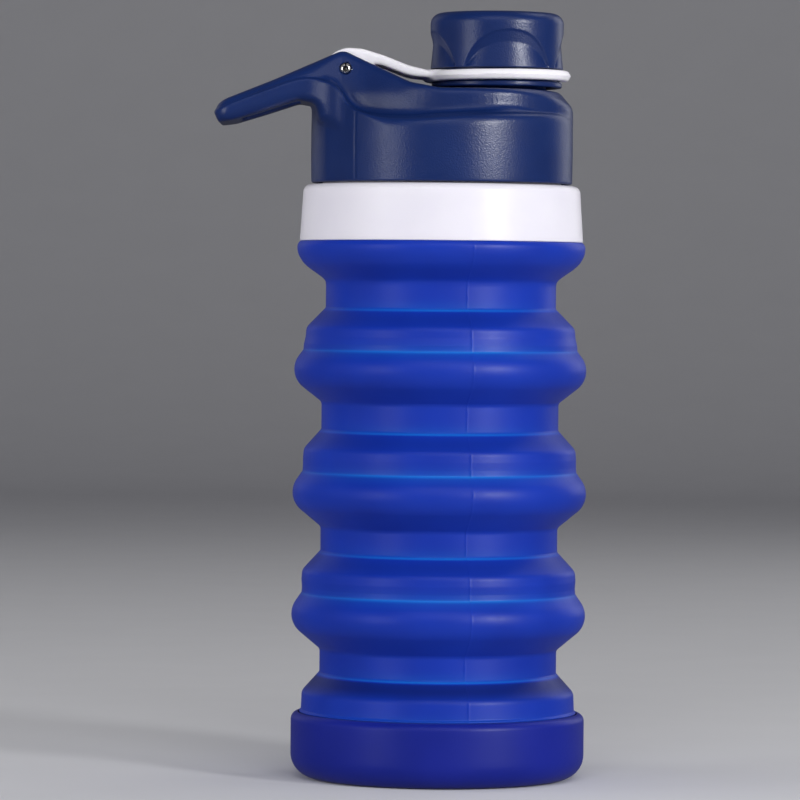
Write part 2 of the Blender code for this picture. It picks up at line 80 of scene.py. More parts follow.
# Heights and places taken from the CAD model.
FOLDS = 4
RING_TOPS = [node_high(f"fold_ring_{k}") for k in range(1, FOLDS)]
CREASES = [2 * RING_TOPS[0] - RING_TOPS[1], *RING_TOPS]
LIP_TOP = node_high("base_cup")
COLLAR_LOW = node_low("neck_collar")
COLLAR_HIGH = node_high("neck_collar")
NECK_LOW = node_low("threaded_neck")
NECK_HIGH = node_high("threaded_neck")
LID_LOW = node_low("lid_body")
SPOUT_TOP = node_high("spout")
CAP_LOW = node_low("spout_cap")
CAP_HIGH = node_high("spout_cap")
STRAP_LOW = CAP_LOW + 1.75
PIN_X, _, PIN_Z = hinge_point("strap_swing")
CAP_X = hinge_point("cap_turn")[0]

# The bodies that the folds join, from the foot up.
BODIES_UP = ["base", "lower_ring", "middle_ring", "upper_ring", "neck"]

# The folding body's section. The soft rings differ a little from each other.
RING_RADIUS = 35.4
WALL_RADII = [35.45, 35.55, 35.4, 34.95]
BULGE_SAGS = [1.0, 0.8, 0.0]
WAIST_RADIUS = 30.8
TOP_WAIST_RADIUS = 29.9
LINE_DROP = 1.65
WALL_RISE = 9.6
WAIST_DROP = 21.95
FOOT_DROP = 1.15
STIFF_WALL = 2.2
THIN_WALL = 1.4

# The mould's parting line, a little to the right of the front and again at the back.
PARTING_ANGLE = FRONT + math.radians(12.5)
PARTING_HEIGHT = 0.13
PARTING_HALF_WIDTH = 0.30

# How finely round shapes are cut, and the finer cuts in degrees beside a parting line.
TURN_STEPS = 192
CAP_STEPS = 360
PARTING_CLEAR = 1.6
PARTING_STEPS = (-1.2, -0.55, -0.25, 0.0, 0.25, 0.55, 1.2)


# ---------------------------------------------------------------- mesh tools


def link_object(name, data):
    obj = bpy.data.objects.new(name, data)
    bpy.context.collection.objects.link(obj)
    return obj


def add_mesh(name, points, faces, sharp_angle=SHARP_ANGLE):
    """An object from points in millimetres and lists of corners, smooth but for its sharp edges."""
    mesh = bpy.data.meshes.new(name)
    mesh.from_pydata((np.asarray(points, float) * MM).tolist(), [], faces)
    mesh.update()
    mesh.shade_smooth()
    mesh.set_sharp_from_angle(angle=math.radians(sharp_angle))
    return link_object(name, mesh)


def add_net(name, points, quads, normals):
    """An object from a surface net, shaded with the true surface's normals."""
    mesh = bpy.data.meshes.new(name)
    mesh.from_pydata((points * MM).tolist(), [], quads.tolist())
    mesh.validate()
    mesh.update()
    mesh.shade_smooth()
    mesh.normals_split_custom_set_from_vertices(normals.tolist())
    return link_object(name, mesh)


def rounded_path(corners, closed=True, step_angle=7.0):
    """Points of a path through (u, v, radius) corners, each rounded by its radius."""
    path = []
    count = len(corners)
    for i, (u, v, radius) in enumerate(corners):
        here = np.array((u, v), float)
        if radius <= 0.0 or (not closed and i in (0, count - 1)):
            path.append(here)
            continue
        before = np.array(corners[i - 1][:2], float) - here
        after = np.array(corners[(i + 1) % count][:2], float) - here
        before /= np.linalg.norm(before)
        after /= np.linalg.norm(after)
        half = math.acos(np.clip(before @ after, -1.0, 1.0)) / 2.0
        middle = before + after
        centre = here + middle / np.linalg.norm(middle) * radius / math.sin(half)
        first = here + before * radius / math.tan(half) - centre
        last = here + after * radius / math.tan(half) - centre
        start = math.atan2(first[1], first[0])
        sweep = (math.atan2(last[1], last[0]) - start + math.pi) % math.tau - math.pi
        steps = max(2, math.ceil(abs(math.degrees(sweep)) / step_angle))
        for angle in np.linspace(start, start + sweep, steps + 1):
            path.append(centre + radius * np.array((math.cos(angle), math.sin(angle))))
    return path


def subdivided(path, longest, closed=True):
    """The same path with no stretch longer than a given length."""
    points = []
    for a, b in zip(path, path[1:] + path[:1] if closed else path[1:]):
        a, b = np.asarray(a, float), np.asarray(b, float)
        steps = max(1, math.ceil(np.linalg.norm(b - a) / longest))
        points.extend(a + (b - a) * i / steps for i in range(steps))
    if not closed:
        points.append(np.asarray(path[-1], float))
    return points


def turn_angles():
    """Angles round an axis, closer together where the mould's parting lines run."""
    angles = set(np.round(np.linspace(-math.pi, math.pi, TURN_STEPS, endpoint=False), 6))
    for line in (PARTING_ANGLE, PARTING_ANGLE + math.pi):
        line = (line + math.pi) % math.tau - math.pi
        angles -= {a for a in angles if abs(a - line) < math.radians(PARTING_CLEAR)}
        angles |= {round(line + math.radians(degrees), 6) for degrees in PARTING_STEPS}
    return np.array(sorted(angles))


def revolve(name, path, axis_x=0.0, reshape=None, angles=None, sharp_angle=SHARP_ANGLE):
    """Spins a closed (radius, height) path. reshape may move each point's radius and height."""
    angles = turn_angles() if angles is None else angles
    path = np.array(path)
    radius = np.repeat(path[:, :1], len(angles), axis=1)
    height = np.repeat(path[:, 1:], len(angles), axis=1)
    turn = np.repeat(angles[None, :], len(path), axis=0)
    if reshape is not None:
        radius, height = reshape(radius, height, turn)
    rows, columns = radius.shape
    points = np.stack(
        (axis_x + radius * np.cos(turn), radius * np.sin(turn), height), axis=-1
    ).reshape(-1, 3)
    index = np.arange(rows * columns).reshape(rows, columns)
    for row in np.nonzero(path[:, 0] < 1e-6)[0]:
        index[row] = index[row, 0]
    below, above = index, np.roll(index, -1, axis=0)
    quads = np.stack((below, np.roll(below, -1, 1), np.roll(above, -1, 1), above), -1)
    faces = []
    for quad in quads.reshape(-1, 4).tolist():
        face = list(dict.fromkeys(quad))
        if len(face) >= 3:
            faces.append(face)
    used = np.unique(np.concatenate([np.array(f) for f in faces]))
    rename = np.full(rows * columns, -1)
    rename[used] = np.arange(len(used))
    faces = [[int(rename[i]) for i in face] for face in faces]
    area = 0.5 * np.sum(
        path[:, 0] * np.roll(path[:, 1], -1) - np.roll(path[:, 0], -1) * path[:, 1]
    )
    if area < 0.0:
        faces = [face[::-1] for face in faces]
    return add_mesh(name, points[used], faces, sharp_angle)


# ------------------------------------------------------- solid shapes by distance


def smooth_max(a, b, round_size):
    """Intersection of two distance fields with a rounded edge."""
    h = np.maximum(round_size - np.abs(a - b), 0.0) / round_size
    return np.maximum(a, b) + h * h * round_size * 0.25


def smooth_min(a, b, round_size):
    """Union of two distance fields with a fillet."""
    return -smooth_max(-a, -b, round_size)


def outline_distance(outline, u, v):
    """Distance to a closed outline in a plane, negative inside it."""
    u, v = np.broadcast_arrays(u, v)
    nearest = np.full(u.shape, 1e9)
    inside = np.zeros(u.shape, bool)
    for (u0, v0), (u1, v1) in zip(outline, list(outline[1:]) + [outline[0]]):
        eu, ev = u1 - u0, v1 - v0
        length = eu * eu + ev * ev
        if length < 1e-12:
            continue
        wu, wv = u - u0, v - v0
        share = np.clip((wu * eu + wv * ev) / length, 0.0, 1.0)
        nearest = np.minimum(nearest, (wu - eu * share) ** 2 + (wv - ev * share) ** 2)
        if ev != 0.0:
            inside ^= ((v0 <= v) != (v1 <= v)) & (u < u0 + wv / ev * eu)
    return np.where(inside, -1.0, 1.0) * np.sqrt(nearest)


SLOPE_REACH = 0.04


def gradient(distance, p):
    """The slope of a distance field, measured from a little before to a little beyond."""
    slope = np.empty_like(p)
    for axis in range(3):
        step = np.zeros(3)
        step[axis] = SLOPE_REACH
        ahead, behind = (p + step).T, (p - step).T
        slope[:, axis] = (distance(*ahead) - distance(*behind)) / (2.0 * SLOPE_REACH)
    return slope


def solid_surface(distance, low, high, cell):
    """Points, quads and normals of the surface where distance is zero, by surface nets."""
    axes = [np.arange(a, b + cell, cell) for a, b in zip(low, high)]
    x, y, z = axes[0][:, None, None], axes[1][None, :, None], axes[2][None, None, :]
    shape = tuple(len(a) for a in axes)
    values = np.broadcast_to(distance(x, y, z), shape)
    cells = tuple(n - 1 for n in shape)
    total = np.zeros(cells + (3,))
    count = np.zeros(cells)
    crossings = []
    for axis in range(3):
        first = [slice(None)] * 3
        second = [slice(None)] * 3
        first[axis] = slice(0, -1)
        second[axis] = slice(1, None)
        a, b = values[tuple(first)], values[tuple(second)]
        cut = (a < 0.0) != (b < 0.0)
        share = np.where(cut, a / np.where(cut, a - b, 1.0), 0.0)
        others = [k for k in range(3) if k != axis]
        grid = (x[: a.shape[0]], y[:, : a.shape[1]], z[..., : a.shape[2]])
        place = [np.broadcast_to(line, a.shape) for line in grid]
        place[axis] = place[axis] + share * cell
        for i in (0, 1):
            for j in (0, 1):
                pick = [slice(None)] * 3
                pick[others[0]] = slice(i, cells[others[0]] + i)
                pick[others[1]] = slice(j, cells[others[1]] + j)
                pick = tuple(pick)
                count += cut[pick]
                for k in range(3):
                    total[..., k] += np.where(cut[pick], place[k][pick], 0.0)
        crossings.append((axis, others, cut, a < 0.0))
    number = np.full(cells, -1)
    used = count > 0
    number[used] = np.arange(used.sum())
    points = total[used] / count[used][:, None]
    quads = []
    for axis, (p, q), cut, starts_inside in crossings:
        at = np.argwhere(cut)
        at_p, at_q = at[:, p], at[:, q]
        at = at[(at_p > 0) & (at_p < shape[p] - 1) & (at_q > 0) & (at_q < shape[q] - 1)]
        flip = starts_inside[tuple(at.T)]
        corner = []
        for dp, dq in ((1, 1), (0, 1), (0, 0), (1, 0)):
            cell_at = at.copy()
            cell_at[:, p] -= dp
            cell_at[:, q] -= dq
            corner.append(number[tuple(cell_at.T)])
        quad = np.stack(corner, axis=-1)
        if axis == 1:
            flip = ~flip
        quad[~flip] = quad[~flip][:, ::-1]
        quads.append(quad)
    quads = np.concatenate(quads)
    return relaxed(distance, points, quads, cell)


def relaxed(distance, points, quads, cell):
    """Evens the net out and lays each of its points on the true surface."""
    edges = np.concatenate([quads[:, [i, (i + 1) % 4]] for i in range(4)])
    for turn in range(3):
        if turn:
            mean = np.zeros_like(points)
            share = np.zeros(len(points))
            np.add.at(mean, edges[:, 0], points[edges[:, 1]])
            np.add.at(share, edges[:, 0], 1.0)
            points = 0.5 * points + 0.5 * mean / np.maximum(share, 1.0)[:, None]
        for _ in range(2):
            slope = gradient(distance, points)
            size = np.maximum((slope**2).sum(1), 0.05)
            move = (distance(*points.T) / size)[:, None] * slope
            points = points - np.clip(move, -cell, cell)
    slope = gradient(distance, points)
    normals = slope / np.maximum(np.linalg.norm(slope, axis=1), 1e-9)[:, None]
    return points, quads, normals


THREAD_FADE = 1.2
THREAD_HALF_WIDTH = 0.95
THREAD_FLANK = 0.55
LID_PITCH = 4.5
SPOUT_PITCH = 3.0


def helix_ridge(x, y, z, start, pitch, low, high, height):
    """How far a screw thread stands up at a place on a round wall."""
    turn = np.arctan2(y, x) / math.tau
    phase = (z - start) / pitch - turn
    away = np.abs(phase - np.round(phase)) * pitch
    start_fade = np.clip((z - low) / THREAD_FADE, 0.0, 1.0)
    end_fade = np.clip((high - z) / THREAD_FADE, 0.0, 1.0)
    crest = np.clip((THREAD_HALF_WIDTH - away) / THREAD_FLANK, 0.0, 1.0)
    return height * (start_fade * end_fade) * crest


# ---------------------------------------------------------------- materials


def new_material(name):
    material = bpy.data.materials.new(name)
    material.use_nodes = True
    return material, material.node_tree.nodes, material.node_tree.links


def noise(nodes, links, place, scale, detail, roughness=0.5):
    texture = nodes.new("ShaderNodeTexNoise")
    texture.inputs["Scale"].default_value = scale
    texture.inputs["Detail"].default_value = detail
    texture.inputs["Roughness"].default_value = roughness
    links.new(place, texture.inputs["Vector"])
    return texture.outputs["Fac"]


def spread(nodes, links, value, low, high, start=0.0, end=1.0):
    """Maps a 0 to 1 value on to a range."""
    mapped = nodes.new("ShaderNodeMapRange")
    mapped.inputs["From Min"].default_value = start
    mapped.inputs["From Max"].default_value = end
    mapped.inputs["To Min"].default_value = low
    mapped.inputs["To Max"].default_value = high
    links.new(value, mapped.inputs["Value"])
    return mapped.outputs["Result"]


def mix_colours(nodes, links, factor, first, second):
    mix = nodes.new("ShaderNodeMix")
    mix.data_type = "RGBA"
    links.new(factor, mix.inputs[0])
    for socket, colour in ((mix.inputs[6], first), (mix.inputs[7], second)):
        if isinstance(colour, tuple):
            socket.default_value = (*colour, 1.0)
        else:
            links.new(colour, socket)
    return mix.outputs[2]


def bump(nodes, links, height, distance, strength, under=None):
    node = nodes.new("ShaderNodeBump")
    node.inputs["Distance"].default_value = distance
    node.inputs["Strength"].default_value = strength
    links.new(height, node.inputs["Height"])
    if under is not None:
        links.new(under, node.inputs["Normal"])
    return node.outputs["Normal"]


def silicone_material(name, deep, light, thin, roughness, subsurface):
    """Moulded silicone with a powdery skin, paler with a painted glow where the wall is thin and
    darker with painted shade where the stored value is below 0.
    """
    material, nodes, links = new_material(name)
    shader = nodes["Principled BSDF"]
    place = nodes.new("ShaderNodeTexCoord").outputs["Object"]
    cloud = noise(nodes, links, place, 45.0, 2.0)
    glow_and_shade = nodes.new("ShaderNodeAttribute")
    glow_and_shade.attribute_name = "glow_and_shade"
    colour = mix_colours(nodes, links, spread(nodes, links, cloud, 0.0, 1.0, 0.3, 0.7), deep, light)
    # Painted glow: the colour pales toward the thin colour where the stored value is above 0.
    colour = mix_colours(nodes, links, glow_and_shade.outputs["Fac"], colour, thin)
    # Painted shade: the colour darkens toward a quarter of the deep colour where the stored value
    # is below 0.
    painted_shade = spread(nodes, links, glow_and_shade.outputs["Fac"], 0.0, 1.0, 0.0, -1.0)
    colour = mix_colours(nodes, links, painted_shade, colour, tuple(0.28 * part for part in deep))
    links.new(colour, shader.inputs["Base Color"])
    speck = noise(nodes, links, place, 900.0, 3.0)
    uneven = spread(nodes, links, speck, roughness - 0.04, roughness + 0.05)
    links.new(uneven, shader.inputs["Roughness"])
    skin = bump(nodes, links, noise(nodes, links, place, 1600.0, 4.0, 0.6), 0.00002, 0.5)
    flow = bump(nodes, links, noise(nodes, links, place, 60.0, 1.0), 0.0002, 0.25, skin)
    links.new(flow, shader.inputs["Normal"])
    shader.inputs["Subsurface Weight"].default_value = subsurface
    shader.inputs["Subsurface Radius"].default_value = (0.15, 0.35, 1.0)
    shader.inputs["Subsurface Scale"].default_value = 0.002
    shader.inputs["Specular IOR Level"].default_value = 0.33
    shader.inputs["Sheen Weight"].default_value = 0.05
    shader.inputs["Sheen Roughness"].default_value = 0.45
    shader.inputs["Sheen Tint"].default_value = (0.75, 0.7, 1.0, 1.0)
    return material


def moulded_material(name, deep, light, roughness, grain, gloss, subsurface=0.0):
    """Injection-moulded plastic with a fine spark-eroded grain and slightly uneven gloss."""
    material, nodes, links = new_material(name)
    shader = nodes["Principled BSDF"]
    place = nodes.new("ShaderNodeTexCoord").outputs["Object"]
    cloud = noise(nodes, links, place, 70.0, 3.0)
    colour = mix_colours(nodes, links, spread(nodes, links, cloud, 0.0, 1.0, 0.3, 0.7), deep, light)
    links.new(colour, shader.inputs["Base Color"])
    blotch = noise(nodes, links, place, 350.0, 3.0)
    uneven = spread(nodes, links, blotch, roughness - 0.05, roughness + 0.06)
    links.new(uneven, shader.inputs["Roughness"])
    fine = bump(nodes, links, noise(nodes, links, place, 2500.0, 1.5, 0.6), 0.0001, grain)
    wave = bump(nodes, links, noise(nodes, links, place, 110.0, 1.0), 0.00015, grain * 0.3, fine)
    links.new(wave, shader.inputs["Normal"])
    shader.inputs["Specular IOR Level"].default_value = gloss
    if subsurface:
        shader.inputs["Subsurface Weight"].default_value = subsurface
        shader.inputs["Subsurface Radius"].default_value = (1.0, 0.9, 1.1)
        shader.inputs["Subsurface Scale"].default_value = 0.0015
    return material


def steel_material():
    """Rolled spring steel with fine marks along the pin."""
    material, nodes, links = new_material("pin_steel")
    shader = nodes["Principled BSDF"]
    place = nodes.new("ShaderNodeTexCoord").outputs["Object"]
    stretch = nodes.new("ShaderNodeMapping")
    stretch.inputs["Scale"].default_value = (1.0, 0.05, 1.0)
    links.new(place, stretch.inputs["Vector"])
    marks = noise(nodes, links, stretch.outputs["Vector"], 6000.0, 2.0)
    colour = mix_colours(nodes, links, marks, (0.72, 0.70, 0.64), (0.92, 0.90, 0.84))
    links.new(colour, shader.inputs["Base Color"])
    links.new(spread(nodes, links, marks, 0.16, 0.34), shader.inputs["Roughness"])
    links.new(bump(nodes, links, marks, 0.00001, 0.4), shader.inputs["Normal"])
    shader.inputs["Metallic"].default_value = 1.0
    return material


# The body's third colour is the painted glow where the wall is thin.
BODY_SILICONE = silicone_material(
    "body_silicone", (0.002, 0.025, 0.335), (0.003, 0.033, 0.40), (0.004, 0.15, 0.60), 0.42, 0.1
)
BASE_SILICONE = silicone_material(
    "base_silicone", (0.003, 0.011, 0.22), (0.005, 0.014, 0.26), (0.02, 0.03, 0.3), 0.42, 0.06
)
NAVY_PLASTIC = moulded_material(
    "navy_plastic", (0.003, 0.016, 0.094), (0.005, 0.021, 0.113), 0.31, 0.62, 0.56
)
WHITE_PLASTIC = moulded_material(
    "white_plastic", (0.75, 0.73, 0.81), (0.78, 0.76, 0.83), 0.33, 0.12, 0.3, 0.15
)
# The strap's plastic: the white plastic painted paler, a painted lift of light on its shaded sides.
LIT_STRAP_PLASTIC = moulded_material(
    "lit_strap_plastic", (0.85, 0.83, 0.89), (0.88, 0.86, 0.91), 0.36, 0.12, 0.3, 0.35
)
SEAL_SILICONE = silicone_material(
    "seal_silicone", (0.62, 0.63, 0.66), (0.68, 0.69, 0.72), (0.75, 0.76, 0.8), 0.45, 0.3
)
PIN_STEEL = steel_material()


def finish_piece(obj, material, slot, body, *nodes):
    """Gives a piece its material, its body and the CAD nodes it stands for; slot is not used."""
    obj.data.materials.clear()
    obj.data.materials.append(material)
    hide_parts(*nodes)
    if body is not None:
        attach(obj, body)


# The painted glow along each thin line: its reach, the share of it left at the sides, and its soft
# spread.
LINE_REACH = 0.42
LINE_SIDE_SHARE = 0.25
GLOW = 0.22
GLOW_REACH = 1.9
# The painted shade on the flank under a waist: its height, and its strength on the lowest fold and
# on the others.
FLANK_HEIGHT = 4.6
LOWEST_FLANK_SHADE = 0.8
FLANK_SHADE = 0.3


def paint_glow_and_shade(obj, lines, painted_shade=0.0):
    """Stores the painted light and shade of the silicone's colour.

    It is above 0 near the (radius, height, weight) lines: a painted glow where the wall is thin,
    strongest where the wall faces the front and the back. Where a shade amount is given, it is
    below 0 on the flank under the last of them: a painted shade.
    """
    mesh = obj.data
    points = np.empty(len(mesh.vertices) * 3, np.float32)
    mesh.vertices.foreach_get("co", points)
    points = points.reshape(-1, 3) / MM
    radius = np.hypot(points[:, 0], points[:, 1])
    # Painted light: the glow is strongest where the wall faces the front and the back, and weaker
    # at the sides.
    facing = np.abs(points[:, 1]) / np.maximum(radius, 1.0)
    thin = np.zeros(len(points))
    for line_radius, line_height, weight in lines:
        away = np.hypot(radius - line_radius, points[:, 2] - line_height)
        line = weight * np.exp(-((away / LINE_REACH) ** 2))
        line = line * (LINE_SIDE_SHARE + (1.0 - LINE_SIDE_SHARE) * facing**2)
        soft = GLOW * np.exp(-((away / GLOW_REACH) ** 2)) * facing**2
        thin = np.maximum(thin, np.maximum(line, soft))
    # Painted shade on the flank under the last line, held off the glow next to the line.
    if painted_shade:
        below = (lines[-1][1] - points[:, 2]) / FLANK_HEIGHT
        shade = painted_shade * ease(below / 0.15) * (1.0 - ease((below - 0.4) / 0.9))
        thin -= shade * np.clip(1.0 - (thin - GLOW) / 0.4, 0.0, 1.0)
    glow_and_shade = mesh.attributes.new("glow_and_shade", "FLOAT", "POINT")
    glow_and_shade.data.foreach_set("value", thin.astype(np.float32))


# ---------------------------------------------------------------- silicone body


def parted_outside(radius, height, turn, outside):
    """Raises the mould's parting lines on the outside of the folding body."""
    raised = radius
    for line in (PARTING_ANGLE, PARTING_ANGLE + math.pi):
        away = np.abs((turn - line + math.pi) % math.tau - math.pi) * raised
        wander = 0.75 + 0.25 * np.sin(height * 1.7) * np.sin(height * 0.43 + 1.0)
        ridge = PARTING_HEIGHT * wander * np.clip(1.0 - away / PARTING_HALF_WIDTH, 0.0, 1.0)
        raised = raised + ridge
    return np.where(outside, raised, radius), height


def fold_lines(crease, waist_radius):
    """Where the wall is thinnest and the painted glow runs: on the bulge just under its crease, and
    under the waist.
    """
    return [
        (RING_RADIUS + 0.3, crease - LINE_DROP, 1.0),
        (waist_radius + 0.5, crease + WALL_RISE - 0.6, 0.85),
    ]


def make_fold_wall(fold):
    """The thin wall that turns inside out, between one ring's top and the next waist."""
    low = CREASES[fold - 1]
    waist = TOP_WAIST_RADIUS if fold == FOLDS else WAIST_RADIUS
    side = WALL_RADII[fold - 1]
    if fold == 1:
        foot = [
            (side + 0.1, low - 0.2, 0.6),
            (side + 0.65, low - 0.75, 0.25),
            (side + 0.3, low - FOOT_DROP, 0.2),
        ]
        sole = [(side - THIN_WALL, low - FOOT_DROP, 0.0)]
    else:
        foot = [(side + 0.1, low + 2.0, 3.0), (RING_RADIUS + 0.1, low, 0.0)]
        sole = [(RING_RADIUS - THIN_WALL, low, 0.0)]
    outer = rounded_path(
        [
            (waist, low + WALL_RISE, 0.0),
            (waist + 0.18, low + WALL_RISE - 0.35, 0.3),
            (side - 0.1, low + 4.4, 2.5),
            *foot,
        ],
        closed=False,
    )
    inner = rounded_path(
        [
            *sole,
            (side - THIN_WALL, low + 3.6, 2.0),
            (waist - THIN_WALL, low + WALL_RISE - 0.6, 0.5),
            (waist - THIN_WALL, low + WALL_RISE, 0.0),
        ],
        closed=False,
    )
    path = [*subdivided(outer, 0.35, False), *subdivided(inner, 0.5, False)]

    def raise_outside(radius, height, turn):
        middle = np.interp(height, [low + 4.3, low + WALL_RISE], [RING_RADIUS, waist])
        return parted_outside(radius, height, turn, radius > middle - THIN_WALL / 2)

    wall = revolve(f"folding_wall_{fold}", path, reshape=raise_outside)
    # Painted glow along the fold's lines, and painted shade on the flank under its waist, darkest
    # on the lowest fold.
    paint_glow_and_shade(wall, fold_lines(low, waist), painted_shade=LOWEST_FLANK_SHADE if fold == 1 else FLANK_SHADE)
    finish_piece(wall, BODY_SILICONE, "body_silicone", None, f"fold_wall_{fold}")
    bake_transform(wall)


def make_bulge_ring(ring):
    """A stiff bulge with the waist below it."""
    top = CREASES[ring]
    sag = BULGE_SAGS[ring - 1]
    outer = rounded_path(
        [
            (RING_RADIUS + 0.1, top, 0.0),
            (RING_RADIUS + 0.2, top - 1.45, 0.7),
            (40.2, top - 7.7 - 0.5 * sag, 5.95),
            (WAIST_RADIUS, top - 15.05 - sag, 1.5),
            (WAIST_RADIUS, top - WAIST_DROP, 0.0),
        ],
        closed=False,
        step_angle=4.0,
    )
    inner = rounded_path(
        [
            (WAIST_RADIUS - STIFF_WALL, top - WAIST_DROP, 0.0),
            (WAIST_RADIUS - STIFF_WALL, top - 14.1, 1.5),
            (37.3, top - 7.5, 4.0),
            (RING_RADIUS - THIN_WALL, top - 1.2, 0.0),
            (RING_RADIUS - THIN_WALL, top, 0.0),
        ],
        closed=False,
    )
    path = [*subdivided(outer, 0.45, False), *subdivided(inner, 0.9, False)]

    def raise_outside(radius, height, turn):
        outline = np.array(outer)[::-1]
        middle = np.interp(height, outline[:, 1], outline[:, 0]) - STIFF_WALL / 2
        return parted_outside(radius, height, turn, radius > middle)

    obj = revolve(f"bulge_ring_{ring}", path, reshape=raise_outside)
    below = CREASES[ring - 1]
    # Painted glow along the thin lines of the folds above and below the ring.
    paint_glow_and_shade(obj, [*fold_lines(top, WAIST_RADIUS), *fold_lines(below, WAIST_RADIUS)])
    finish_piece(obj, BODY_SILICONE, "body_silicone", BODIES_UP[ring], f"fold_ring_{ring}")


SHOULDER_FLANK = [
    (37.0, 138.95),
    (37.35, 138.2),
    (37.4, 137.2),
    (37.15, 136.0),
    (36.6, 134.8),
    (35.6, 133.4),
    (34.1, 132.1),
    (32.4, 130.9),
    (30.9, 129.8),
    (30.1, 128.9),
    (29.9, 127.8),
]


def make_shoulder():
    """The top waist, the flared shoulder and the sleeve under the collar."""
    low = CREASES[-1] + WALL_RISE
    outer = rounded_path(
        [
            (31.0, 149.0, 0.0),
            (33.9, 149.0, 0.0),
            (33.9, 145.9, 0.0),
            (33.2, 145.0, 0.0),
            (33.2, COLLAR_LOW - 0.05, 0.0),
            (36.7, COLLAR_LOW - 0.05, 0.0),
        ],
        closed=False,
    )
    outer += spline_through(SHOULDER_FLANK, 5)
    outer.append(np.array((TOP_WAIST_RADIUS, low)))
    inner = rounded_path(
        [
            (TOP_WAIST_RADIUS - STIFF_WALL, low, 0.0),
            (TOP_WAIST_RADIUS - STIFF_WALL, 130.0, 2.0),
            (34.7, 136.3, 1.5),
            (34.0, 138.6, 0.6),
            (31.0, COLLAR_LOW + 0.3, 0.0),
        ],
        closed=False,
    )
    path = [*subdivided(outer, 0.45, False), *subdivided(inner, 0.9, False)]

    def raise_outside(radius, height, turn):
        middle = np.interp(height, [129.0, 136.0], [29.0, 36.0])
        outside = (height < COLLAR_LOW - 0.4) & (radius > middle)
        return parted_outside(radius, height, turn, outside)

    obj = revolve("shoulder", path, reshape=raise_outside)
    # Painted glow along the top fold's thin lines.
    paint_glow_and_shade(obj, fold_lines(CREASES[-1], TOP_WAIST_RADIUS))
    finish_piece(obj, BODY_SILICONE, "body_silicone", "neck", "shoulder_ring")


def make_base():
    """The darker cup and the closed end of the body that stands in it."""
    cup = rounded_path(
        [
            (0.0, 0.0, 0.0),
            (38.15, 0.0, 6.2),
            (38.15, LIP_TOP - 0.1, 2.0),
            (36.35, LIP_TOP + 0.1, 0.25),
            (36.35, 1.8, 4.2),
            (0.0, 1.8, 0.0),
        ]
    )
    obj = revolve("base_cup_shell", subdivided(cup, 1.5))
    paint_glow_and_shade(obj, [])
    finish_piece(obj, BASE_SILICONE, "base_silicone", "base", "base_cup")
    rim = CREASES[0] - FOOT_DROP
    lining = rounded_path(
        [
            (0.0, 2.1, 0.0),
            (36.1, 2.1, 4.2),
            (35.4, rim, 0.2),
            (34.0, rim, 0.0),
            (34.0, 4.0, 2.4),
            (0.0, 4.0, 0.0),
        ]
    )
    obj = revolve("body_lower_end", subdivided(lining, 1.5))
    paint_glow_and_shade(obj, [])
    finish_piece(obj, BODY_SILICONE, "body_silicone", "base", "body_floor")


# ---------------------------------------------------------------- neck


def make_neck():
    collar = rounded_path(
        [
            (36.8, COLLAR_LOW, 0.25),
            (35.85, COLLAR_HIGH, 1.9),
            (31.4, COLLAR_HIGH, 0.4),
            (31.4, COLLAR_HIGH - 2.4, 0.0),
            (34.2, COLLAR_HIGH - 2.4, 0.0),
            (34.2, 145.6, 0.0),
            (33.5, 145.0, 0.0),
            (33.5, COLLAR_LOW, 0.2),
        ]
    )
    obj = revolve("clamp_collar", subdivided(collar, 2.0))
    finish_piece(obj, WHITE_PLASTIC, "white_plastic", "neck", "neck_collar")
    neck = rounded_path(
        [
            (28.4, NECK_LOW, 0.3),
            (30.7, NECK_LOW, 0.3),
            (30.7, 149.3, 0.0),
            (33.9, 149.3, 0.0),
            (33.9, 151.2, 0.3),
            (31.0, 151.2, 0.3),
            (31.0, NECK_HIGH, 0.6),
            (28.4, NECK_HIGH, 0.6),
        ]
    )

    def cut_thread(radius, height, turn):
        along = np.cos(turn), np.sin(turn), height
        ridge = helix_ridge(*along, 156.2, LID_PITCH, 155.2, 162.6, 1.0)
        return np.where((radius > 30.9) & (height > 152.0), radius + ridge, radius), height

    obj = revolve("neck_insert", subdivided(neck, 0.35), reshape=cut_thread, sharp_angle=50.0)
    finish_piece(obj, WHITE_PLASTIC, "white_plastic", "neck", "threaded_neck")
    low, high = node_low("lid_gasket"), node_high("lid_gasket")
    gasket = rounded_path(
        [(28.7, low, 0.4), (31.6, low, 0.4), (31.6, high, 0.4), (28.7, high, 0.4)]
    )
    obj = revolve("gasket", subdivided(gasket, 1.0))
    paint_glow_and_shade(obj, [])
    finish_piece(obj, SEAL_SILICONE, "seal_silicone", "lid_rise", "lid_gasket")


# ---------------------------------------------------------------- lid

LID_RADIUS = 34.06
FACET_ANGLE = math.radians(38.7)
FACET_DISTANCE = 33.55
DECK_TOP = 178.3
WALL_BELLY = 0.0014
WALL_BELLY_HEIGHT = 164.0
GROOVE = 0.3
GROOVE_HALF_WIDTH = 0.45
EDGE_X = -LID_RADIUS * math.cos(FACET_ANGLE + math.acos(FACET_DISTANCE / LID_RADIUS))
EDGE_Y = LID_RADIUS * math.sin(FACET_ANGLE + math.acos(FACET_DISTANCE / LID_RADIUS))
SLOT_HALF_WIDTH = 10.2
SLOT_LEFT = -52.2
SLOT_CORNER = 2.4
SPOUT_RADIUS = 12.8
SPOUT_BORE = 10.8
PIN_HOLE = 1.5
LOOP_HALF_WIDTH = 16.4
PROUD = 0.3
LOOP_LEFT = -59.0

